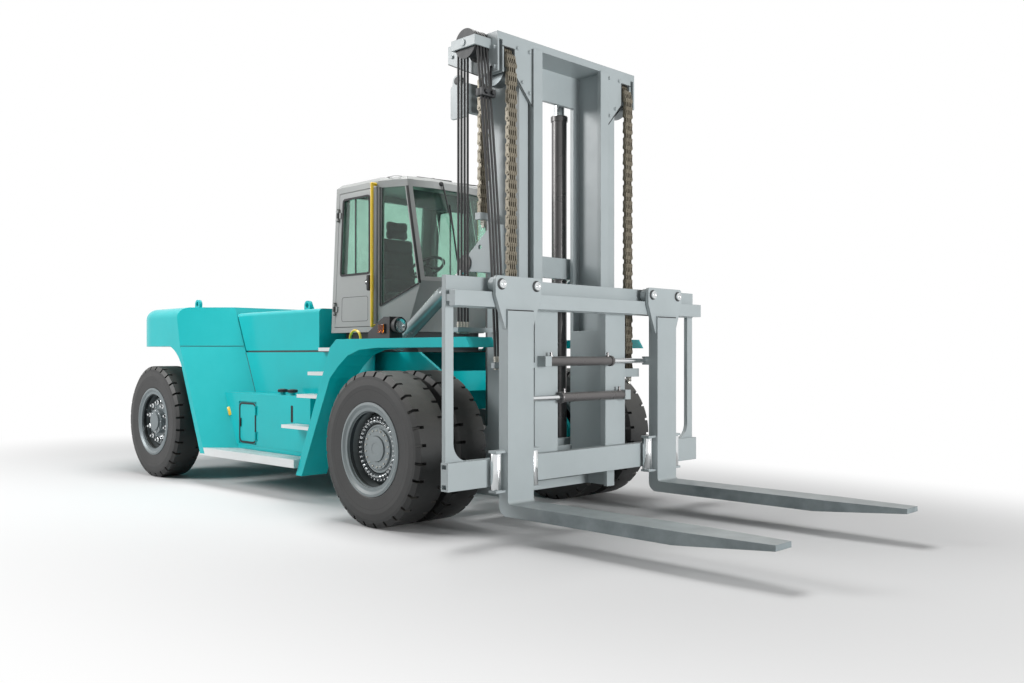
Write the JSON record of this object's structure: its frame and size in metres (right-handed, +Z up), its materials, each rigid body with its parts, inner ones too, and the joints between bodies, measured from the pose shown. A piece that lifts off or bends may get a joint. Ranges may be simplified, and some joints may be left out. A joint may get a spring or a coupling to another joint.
{
  "type": "forklift truck",
  "caption": "Heavy counterbalance forklift truck with a two-stage mast, sliding forks, twin front wheels, steered rear wheels, glazed cab and rear counterweight",
  "frame": {"origin": "on the ground, at the middle of the truck from the counterweight to the fork tips", "axes": "+X forward along the forks, +Y to the left, +Z up"},
  "size_m": [9.271, 3.37, 4.296],
  "materials": {
    "body_paint": "gloss",
    "mast_paint": "satin",
    "cab_paint": "satin",
    "frame_paint": "satin",
    "fork_paint": "satin",
    "rim_paint": "satin",
    "rubber_tyre": "matte",
    "steel": "machined",
    "chain_steel": "oiled",
    "chrome": "polished",
    "cylinder_paint": "satin",
    "hose_rubber": "matte",
    "glass": "clear",
    "seat_cloth": "woven",
    "plastic": "grained",
    "rail_paint": "gloss",
    "step_alloy": "ribbed",
    "iron": "plain"
  },
  "bodies": {
    "chassis": {"chassis_frame": "frame_paint", "counterweight": "body_paint", "engine_block": "iron", "fenders": "body_paint", "tank_left": "body_paint", "tank_right": "body_paint", "side_panels": "body_paint", "steps": "step_alloy", "cab_shell": "cab_paint", "cab_glass": "glass", "seat": "seat_cloth", "steering_console": "plastic", "handrails": "rail_paint", "headlamps": "plastic", "drive_axle": "iron", "steer_axle": "iron"},
    "hood": {"engine_hood": "body_paint"},
    "hatch": {"tank_hatch": "body_paint"},
    "door_left": {"cab_door_left": "cab_paint", "door_glass_left": "glass"},
    "door_right": {"cab_door_right": "cab_paint", "door_glass_right": "glass"},
    "front_wheel_left": {"front_tyres_left": "rubber_tyre", "front_rims_left": "rim_paint"},
    "front_wheel_right": {"front_tyres_right": "rubber_tyre", "front_rims_right": "rim_paint"},
    "knuckle_left": {"steer_knuckle_left": "iron"},
    "knuckle_right": {"steer_knuckle_right": "iron"},
    "rear_wheel_left": {"rear_tyre_left": "rubber_tyre", "rear_rim_left": "rim_paint"},
    "rear_wheel_right": {"rear_tyre_right": "rubber_tyre", "rear_rim_right": "rim_paint"},
    "outer_mast": {"mast_outer": "mast_paint", "lift_barrels": "cylinder_paint", "chains_rear": "chain_steel", "hoses_rear": "hose_rubber"},
    "inner_mast": {"mast_inner": "mast_paint", "lift_rods": "chrome", "chain_sheaves": "steel", "chain_wraps": "chain_steel", "chains_front": "chain_steel", "hose_sheave": "plastic", "hose_wraps": "hose_rubber", "hoses_front": "hose_rubber"},
    "fork_carriage": {"carriage": "mast_paint", "positioner_barrels": "cylinder_paint"},
    "fork_l": {"fork_left": "fork_paint", "positioner_rod_left": "chrome"},
    "fork_r": {"fork_right": "fork_paint", "positioner_rod_right": "chrome"},
    "tilt_cylinder_left": {"tilt_barrel_left": "cylinder_paint"},
    "tilt_cylinder_right": {"tilt_barrel_right": "cylinder_paint"},
    "tilt_piston_left": {"tilt_rod_left": "chrome"},
    "tilt_piston_right": {"tilt_rod_right": "chrome"}
  },
  "joints": [
    {"name": "mast_tilt", "type": "hinge", "parent": "chassis", "child": "outer_mast", "pos_m": [1.3645, 0, 0.6], "axis": [0, 1, 0], "range_deg": [-10, 5]},
    {"name": "mast_lift", "type": "slide", "parent": "outer_mast", "child": "inner_mast", "axis": [0, 0, 1], "range_m": [-0.09, 2.4], "deforming": ["chains_rear", "hoses_rear"]},
    {"name": "carriage_lift", "type": "slide", "parent": "inner_mast", "child": "fork_carriage", "axis": [0, 0, 1], "range_m": [-0.09, 2.4], "deforming": ["chains_front", "hoses_front"]},
    {"name": "fork_left_shift", "type": "slide", "parent": "fork_carriage", "child": "fork_l", "axis": [0, 1, 0], "range_m": [-0.455, 0.33]},
    {"name": "fork_right_shift", "type": "slide", "parent": "fork_carriage", "child": "fork_r", "axis": [0, -1, 0], "range_m": [-0.455, 0.33]},
    {"name": "tilt_cylinder_left_pivot", "type": "hinge", "parent": "chassis", "child": "tilt_cylinder_left", "pos_m": [0.3245, 0.736, 1.623], "axis": [0, 1, 0], "range_deg": [-8.5, 4.5]},
    {"name": "tilt_piston_left_slide", "type": "slide", "parent": "tilt_cylinder_left", "child": "tilt_piston_left", "axis": [0.8271, 0, 0.562], "range_m": [-0.26, 0.135]},
    {"name": "tilt_cylinder_right_pivot", "type": "hinge", "parent": "chassis", "child": "tilt_cylinder_right", "pos_m": [0.3245, -0.736, 1.623], "axis": [0, 1, 0], "range_deg": [-8.5, 4.5]},
    {"name": "tilt_piston_right_slide", "type": "slide", "parent": "tilt_cylinder_right", "child": "tilt_piston_right", "axis": [0.8271, 0, 0.562], "range_m": [-0.26, 0.135]},
    {"name": "front_wheel_left_spin", "type": "hinge", "parent": "chassis", "child": "front_wheel_left", "pos_m": [0.9645, 1.2, 0.685], "axis": [0, 1, 0], "continuous": true},
    {"name": "steer_left", "type": "hinge", "parent": "chassis", "child": "knuckle_left", "pos_m": [-3.7905, 0.985, 0.685], "axis": [0, 0, 1], "range_deg": [-60, 60]},
    {"name": "rear_wheel_left_spin", "type": "hinge", "parent": "knuckle_left", "child": "rear_wheel_left", "pos_m": [-3.7905, 1.185, 0.685], "axis": [0, 1, 0], "continuous": true},
    {"name": "door_left_hinge", "type": "hinge", "parent": "chassis", "child": "door_left", "pos_m": [-0.85876, 0.684, 1.8], "axis": [0.0678, 0, 0.9977], "range_deg": [0, 85]},
    {"name": "front_wheel_right_spin", "type": "hinge", "parent": "chassis", "child": "front_wheel_right", "pos_m": [0.9645, -1.2, 0.685], "axis": [0, 1, 0], "continuous": true},
    {"name": "steer_right", "type": "hinge", "parent": "chassis", "child": "knuckle_right", "pos_m": [-3.7905, -0.985, 0.685], "axis": [0, 0, 1], "range_deg": [-60, 60]},
    {"name": "rear_wheel_right_spin", "type": "hinge", "parent": "knuckle_right", "child": "rear_wheel_right", "pos_m": [-3.7905, -1.185, 0.685], "axis": [0, 1, 0], "continuous": true},
    {"name": "door_right_hinge", "type": "hinge", "parent": "chassis", "child": "door_right", "pos_m": [-0.85876, -0.684, 1.8], "axis": [-0.0678, 0, -0.9977], "range_deg": [0, 85]},
    {"name": "hood_hinge", "type": "hinge", "parent": "chassis", "child": "hood", "pos_m": [-2.79372, 0, 2.014], "axis": [0, -1, 0], "range_deg": [0, 60]},
    {"name": "hatch_hinge", "type": "hinge", "parent": "chassis", "child": "hatch", "pos_m": [-1.9225, -1.01, 0.5], "axis": [0, 0, 1], "range_deg": [0, 100]}
  ],
  "couplings": [
    {"joint": "carriage_lift", "follows": "mast_lift", "ratio": 1},
    {"joint": "steer_right", "follows": "steer_left", "ratio": 1},
    {"joint": "tilt_cylinder_left_pivot", "follows": "mast_tilt", "ratio": 0.8161},
    {"joint": "tilt_piston_left_slide", "follows": "mast_tilt", "m_per_rad": 1.4406},
    {"joint": "tilt_cylinder_right_pivot", "follows": "mast_tilt", "ratio": 0.8161},
    {"joint": "tilt_piston_right_slide", "follows": "mast_tilt", "m_per_rad": 1.4406}
  ]
}
